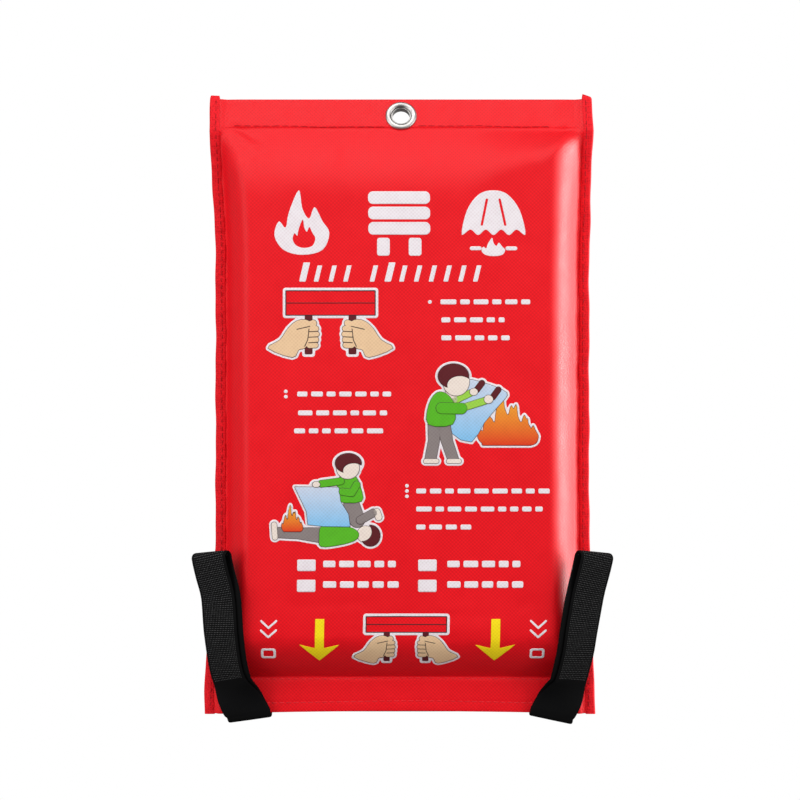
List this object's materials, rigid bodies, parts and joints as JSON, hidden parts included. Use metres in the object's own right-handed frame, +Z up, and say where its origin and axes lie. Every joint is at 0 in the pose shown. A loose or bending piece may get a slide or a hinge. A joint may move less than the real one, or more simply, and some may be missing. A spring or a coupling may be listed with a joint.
{
  "type": "fire blanket",
  "caption": "Soft red fabric pouch hung by an eyelet, holding a folded glass-cloth blanket that is pulled out at the bottom by black webbing straps.",
  "frame": {"origin": "centre of the hanging eyelet", "axes": "+Z up the pouch, front towards -Y, +X to the right seen from the front"},
  "size_m": [0.1992, 0.0291, 0.2934],
  "materials": {
    "laminated_fabric": "red film-laminated non-woven with a fine embossed mesh, printed in white, yellow and a few flat colours",
    "binding_tape": "matte red non-woven tape",
    "red_thread": "red polyester sewing thread",
    "hook_tape": "red hook and loop tape",
    "nickel": "bright nickel plate",
    "glass_cloth": "off-white woven glass cloth",
    "black_webbing": "black woven polypropylene webbing",
    "black_thread": "black polyester sewing thread"
  },
  "bodies": {
    "pouch": {"pouch_front_panel": "laminated_fabric", "pouch_front_lip": "laminated_fabric", "pouch_back_panel": "laminated_fabric", "binding_left": "binding_tape", "binding_right": "binding_tape", "binding_thread_left": "red_thread", "binding_thread_right": "red_thread", "header_thread_left": "red_thread", "header_thread_right": "red_thread", "mouth_thread_upper": "red_thread", "mouth_thread_lower": "red_thread", "closure_hook_strip": "hook_tape", "closure_loop_strip": "hook_tape", "eyelet_barrel": "nickel", "eyelet_washer": "nickel"},
    "blanket": {"blanket": "glass_cloth", "blanket_hem_tape": "glass_cloth", "strap_left_root": "black_webbing", "strap_right_root": "black_webbing", "strap_left_stitching": "black_thread", "strap_right_stitching": "black_thread"},
    "strap_left": {"strap_left_fold": "black_webbing", "strap_left_loop": "black_webbing"},
    "strap_right": {"strap_right_fold": "black_webbing", "strap_right_loop": "black_webbing"}
  },
  "joints": [
    {"name": "blanket_pull", "type": "slide", "parent": "pouch", "child": "blanket", "axis": [0, 0, -1], "range_m": [0, 0.27], "deforming": ["pouch_front_lip", "closure_loop_strip", "mouth_thread_upper", "mouth_thread_lower"]},
    {"name": "strap_left_fold_hinge", "type": "hinge", "parent": "blanket", "child": "strap_left", "pos_m": [-0.0704, -0.00015, -0.2796], "axis": [1, 0, 0], "range_deg": [0, 165], "deforming": ["strap_left_fold"]},
    {"name": "strap_right_fold_hinge", "type": "hinge", "parent": "blanket", "child": "strap_right", "pos_m": [0.0704, -0.00015, -0.2796], "axis": [1, 0, 0], "range_deg": [0, 165], "deforming": ["strap_right_fold"]}
  ]
}
